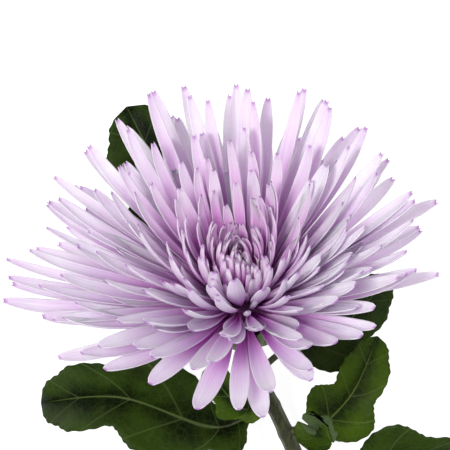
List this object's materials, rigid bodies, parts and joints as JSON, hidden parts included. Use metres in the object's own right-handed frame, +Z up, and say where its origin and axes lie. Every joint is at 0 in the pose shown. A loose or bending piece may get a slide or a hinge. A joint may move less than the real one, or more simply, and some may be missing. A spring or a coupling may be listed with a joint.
{
  "type": "cut spider chrysanthemum",
  "caption": "Lying cut flower: one large double bloom of long quilled petals facing up and away from a short bowed stem with lobed leaves.",
  "frame": {"origin": "middle of the object's footprint, on the surface that it lies on", "axes": "+Z up, +Y from the cut end of the stem towards the bloom"},
  "size_m": [0.1759, 0.2519, 0.1095],
  "materials": {
    "lilac_petal": "soft satin",
    "bract_green": "matte",
    "stem_green": "satin",
    "leaf_green": "satin"
  },
  "bodies": {
    "root": {"bloom": "lilac_petal", "cup": "bract_green", "stem": "stem_green", "leaf_1": "leaf_green", "leaf_2": "leaf_green", "leaf_3": "leaf_green", "leaf_4": "leaf_green", "leaf_5": "leaf_green", "leaf_6": "leaf_green", "leaf_7": "leaf_green", "leaf_8": "leaf_green"}
  },
  "joints": []
}
